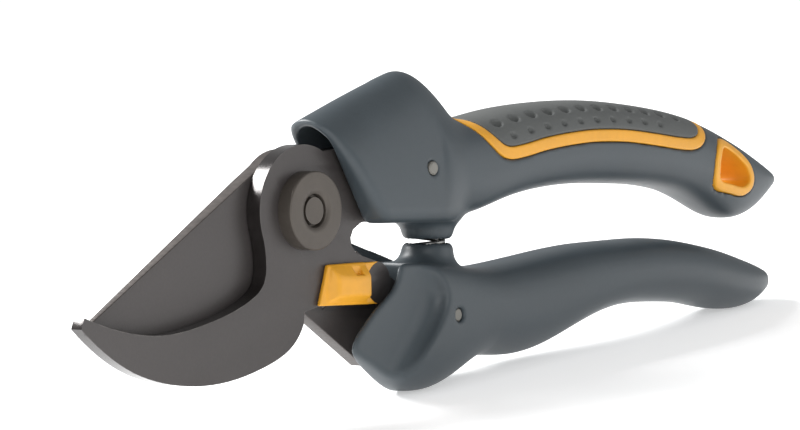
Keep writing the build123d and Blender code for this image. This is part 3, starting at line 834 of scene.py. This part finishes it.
# the lock's thumb block: sloping sides, on a thin flange whose pointed corners wrap the lobe
LOBE = (20.2, -13.3)
LOBE_CLEARANCE_R = 3.78
BLOCK_FRONT = -6.1
FLANGE_FRONT = -4.15
FLANGE_BACK = -3.28
FLANGE_OUTLINE = [(5.6, -9.75), (20.9, -9.45), (20.9, -17.15), (3.3, -17.0)]
BLOCK_OUTLINE = [(5.8, -10.0), (15.6, -9.6), (15.9, -16.6), (4.6, -16.6)]
BLOCK_MIDDLE = 11.0
BLOCK_DISH = 0.014                # hollow of the thumb face, times the distance from its middle squared
LOCK_PIN = (9.0, LOBE[1])
LOCK_PIN_R = 1.5
LOCK_PIN_TOP = -5.28
# the thumb face falls back above and below these heights
FACE_HIGH = -12.2
FACE_LOW = -15.2
NOTCH_X = 12.7
NOTCH_HALF = 1.1
NOTCH_LOW = -11.7
NOTCH_BACK = -4.55


def lock_button_field(x, y, z):
    """The thumb block, its flange, the notch in its top edge and the blind hole for the lock pin."""
    flange = wedge(x, z, FLANGE_OUTLINE, 0.25)
    flange = cut(flange, cross_pin(x, z, LOBE, LOBE_CLEARANCE_R), 0.15)
    flange = common(flange, np.maximum(FLANGE_FRONT - y, y - FLANGE_BACK), 0.35)
    left = half_plane(x, y, (7.0, BLOCK_FRONT), (5.1, FLANGE_FRONT))
    block = np.maximum(wedge(x, z, BLOCK_OUTLINE, 0.6), BLOCK_FRONT - 0.48 - y)
    front = BLOCK_FRONT + BLOCK_DISH * (x - BLOCK_MIDDLE) ** 2 - y
    block = common(block, front, 0.5)
    block = common(block, left, 0.5)
    top = ((z - FACE_HIGH) * 0.62 - (y - BLOCK_FRONT) * 0.78) - 0.05
    block = common(block, top, 0.4)
    low = ((FACE_LOW - z) * 0.8 - (y - BLOCK_FRONT) * 0.6) - 0.05
    block = common(block, low, 0.4)
    block = common(block, y - FLANGE_BACK, 0.2)
    notch = np.maximum(np.abs(x - NOTCH_X) - NOTCH_HALF, NOTCH_LOW - z)
    block = cut(block, np.maximum(notch, y - NOTCH_BACK), 0.2)
    body = join(flange, block, 0.5)
    pin_hole = np.maximum(cross_pin(x, z, LOCK_PIN, LOCK_PIN_R), LOCK_PIN_TOP - y)
    return cut(body, pin_hole, 0.1)


install(solid("lock_thumb_piece", lock_button_field, (2, -7, -18), (23, -2.6, -9), FINEST),
        "lock", [YELLOW], "lock_button")


def spring_piece():
    """The return spring as drawn wire, its end turns closed up on the two seats."""
    low, high = (np.array(corner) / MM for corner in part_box("return_spring"))
    wire, coil = 0.55, 2.9        # radius of the wire, and of its middle line round the axis
    bottom, top = low[2] + wire, high[2] - wire
    centre = (low[:2] + high[:2]) / 2
    turns, around, sides = 8, 28, 10
    ease = 0.15
    points = []
    for k in range(turns * around + 1):
        turn = k / around
        # the first and the last half turn lie flat, and the pitch opens out between them
        rise = np.clip((turn - 0.5) / (turns - 1), 0, 1)
        rise = rise * rise * (3 - 2 * rise) * ease + rise * (1 - ease)
        angle = 2 * math.pi * turn
        x, y = centre[0] + coil * math.cos(angle), centre[1] + coil * math.sin(angle)
        points.append((x, y, bottom + rise * (top - bottom)))
    points = np.array(points)
    ahead = np.gradient(points, axis=0)
    ahead /= np.linalg.norm(ahead, axis=1, keepdims=True)
    out = points - np.array([centre[0], centre[1], 0])
    out[:, 2] = 0
    out /= np.linalg.norm(out, axis=1, keepdims=True)
    side = np.cross(ahead, out)
    rings = []
    for k in range(sides):
        angle = 2 * math.pi * k / sides
        rings.append(points + wire * (math.cos(angle) * out + math.sin(angle) * side))
    vertices = np.stack(rings, 1).reshape(-1, 3)
    faces = []
    for i in range(len(points) - 1):
        for k in range(sides):
            n = (k + 1) % sides
            faces.append((i * sides + k, i * sides + n, (i + 1) * sides + n, (i + 1) * sides + k))
    mesh = bpy.data.meshes.new("spring_coil")
    last = (len(points) - 1) * sides
    caps = [tuple(range(sides))[::-1], tuple(last + k for k in range(sides))]
    mesh.from_pydata((vertices * MM).tolist(), [], faces + caps)
    mesh.polygons.foreach_set("use_smooth", np.ones(len(mesh.polygons), bool))
    thing = bpy.data.objects.new("spring_coil", mesh)
    bpy.context.scene.collection.objects.link(thing)
    dress(thing, WIRE)
    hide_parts("return_spring")
    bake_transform(thing)


spring_piece()

# the CAD parts that are kept as they are
FINISH = {
    "pivot_bolt": PIVOT,
    "pivot_washer": STEEL,
    "pivot_bush": BRONZE,
    "upper_tang_pin": PIN,
    "lower_tang_pin": PIN,
    "upper_spring_seat": STEEL,
    "lower_spring_seat": STEEL,
    "lock_pin": STEEL,
    "lock_clip": WIRE,
    "lock_wave_washer": WIRE,
}
for node, finish in FINISH.items():
    dress(NODES[node], finish)


# ------------------------------------------------------------------ floor, light, camera

def plane(name, centre, size, turn):
    mesh = bpy.data.meshes.new(name)
    h = size / 2
    mesh.from_pydata([(-h, -h, 0), (h, -h, 0), (h, h, 0), (-h, h, 0)], [], [(0, 1, 2, 3)])
    thing = bpy.data.objects.new(name, mesh)
    thing.location = centre
    thing.rotation_euler = turn
    bpy.context.scene.collection.objects.link(thing)
    return thing


# the tool stands on its front knob and its rear end, so the ground line runs between them
FRONT_FOOT = (30.0, -33.7)
REAR_FOOT = (137.0, -22.2)
SIDE_TILT = math.radians(2.0)
FLOOR_SIZE = 14.0                 # metres
rise = math.atan2(REAR_FOOT[1] - FRONT_FOOT[1], REAR_FOOT[0] - FRONT_FOOT[0])
floor = plane("floor", (FRONT_FOOT[0] * MM, 0, FRONT_FOOT[1] * MM), FLOOR_SIZE, (SIDE_TILT, -rise, 0))


def paper():
    """The pale sweep: brightly lit paper, so its own light lifts the shadows."""
    finish = Finish("floor_paper", srgb(246, 246, 246), specular=0.1)
    finish.shade(finish.noise(40, 3), 0.995, 1.005)
    finish.shader.inputs["Roughness"].default_value = 0.95
    finish.shader.inputs["Emission Color"].default_value = (1, 1, 1, 1)
    finish.shader.inputs["Emission Strength"].default_value = 0.42
    return finish.done()


dress(floor, paper())


def studio_world():
    """White behind the tool; a dim even glow lights it."""
    world = bpy.data.worlds.new("studio")
    bpy.context.scene.world = world
    world.use_nodes = True
    nodes, links = world.node_tree.nodes, world.node_tree.links
    glow = nodes["Background"]
    glow.inputs["Color"].default_value = (0.98, 0.99, 1, 1)
    glow.inputs["Strength"].default_value = 0.44
    seen = nodes.new("ShaderNodeBackground")
    seen.inputs["Color"].default_value = (1, 1, 1, 1)
    seen.inputs["Strength"].default_value = 1.0
    pick = nodes.new("ShaderNodeMixShader")
    links.new(nodes.new("ShaderNodeLightPath").outputs["Is Camera Ray"], pick.inputs[0])
    links.new(glow.outputs[0], pick.inputs[1])
    links.new(seen.outputs[0], pick.inputs[2])
    links.new(pick.outputs[0], nodes["World Output"].inputs["Surface"])


studio_world()


AIM = (0.05, 0, -0.005)           # where every softbox points


def softbox(name, place, size, power):
    light = bpy.data.lights.new(name, "AREA")
    light.shape = "RECTANGLE"
    light.size, light.size_y = size
    light.energy = power
    thing = bpy.data.objects.new(name, light)
    thing.location = place
    thing.rotation_euler = (Vector(AIM) - Vector(place)).to_track_quat("-Z", "Y").to_euler()
    bpy.context.scene.collection.objects.link(thing)


softbox("front_right", (0.75, -0.95, 0.32), (0.9, 0.7), 2.3)
softbox("back_left", (-0.42, 0.72, 0.62), (0.62, 0.44), 22.0)
softbox("front_left", (-0.9, -0.9, 0.35), (0.7, 0.7), 3.6)

camera = bpy.data.cameras.new("camera")
camera.sensor_width = 36
camera.lens = 153
camera.clip_end = 50
eye = bpy.data.objects.new("camera", camera)
eye.location = (-0.4538, -0.3974, 0.01034)
EYE_DOWN = 1.06                   # degrees below the horizontal
EYE_TURN = -50.64                 # degrees from looking along +Y
eye.rotation_euler = (math.radians(90 - EYE_DOWN), 0, math.radians(EYE_TURN))
bpy.context.scene.collection.objects.link(eye)
bpy.context.scene.camera = eye
bpy.context.scene.view_settings.view_transform = "Standard"
